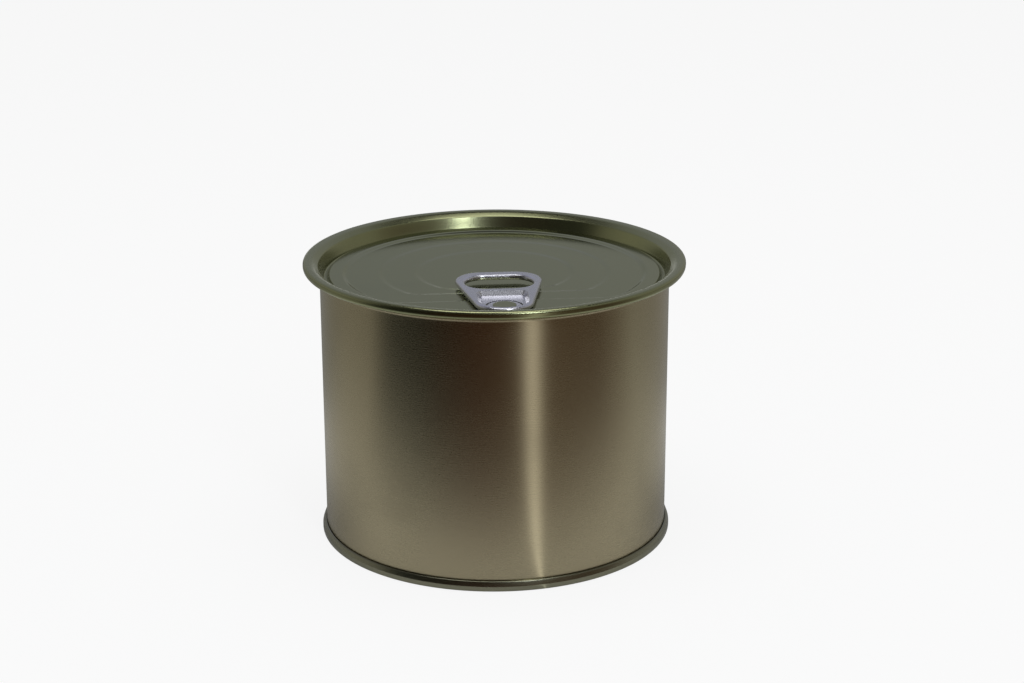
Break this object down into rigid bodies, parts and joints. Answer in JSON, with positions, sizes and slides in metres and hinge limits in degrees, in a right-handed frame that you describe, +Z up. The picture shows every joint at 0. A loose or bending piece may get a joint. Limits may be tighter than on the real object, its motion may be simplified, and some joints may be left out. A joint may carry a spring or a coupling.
{
  "type": "food can with ring-pull end",
  "caption": "Shut straight-sided food can with a wide rolled top rim, a stepped ring-pull end and a seamed base.",
  "frame": {"origin": "middle of the base seam's foot, on the can's axis", "axes": "+Z up the can's axis towards the ring-pull end; the pull tab's nose points along -Y; +X is to the right when seen from the nose's side"},
  "size_m": [0.1086, 0.1086, 0.081],
  "materials": {
    "wall_tin": "polished tinplate under a thin clear champagne lacquer",
    "lid_tin": "satin grey-gold lacquer on sheet metal",
    "tab_metal": "bare bright metal",
    "base_tin": "polished tinplate under a thin clear champagne lacquer"
  },
  "bodies": {
    "root": {"body": "wall_tin", "lid": "lid_tin", "pull_tab": "tab_metal", "base": "base_tin"}
  },
  "joints": []
}
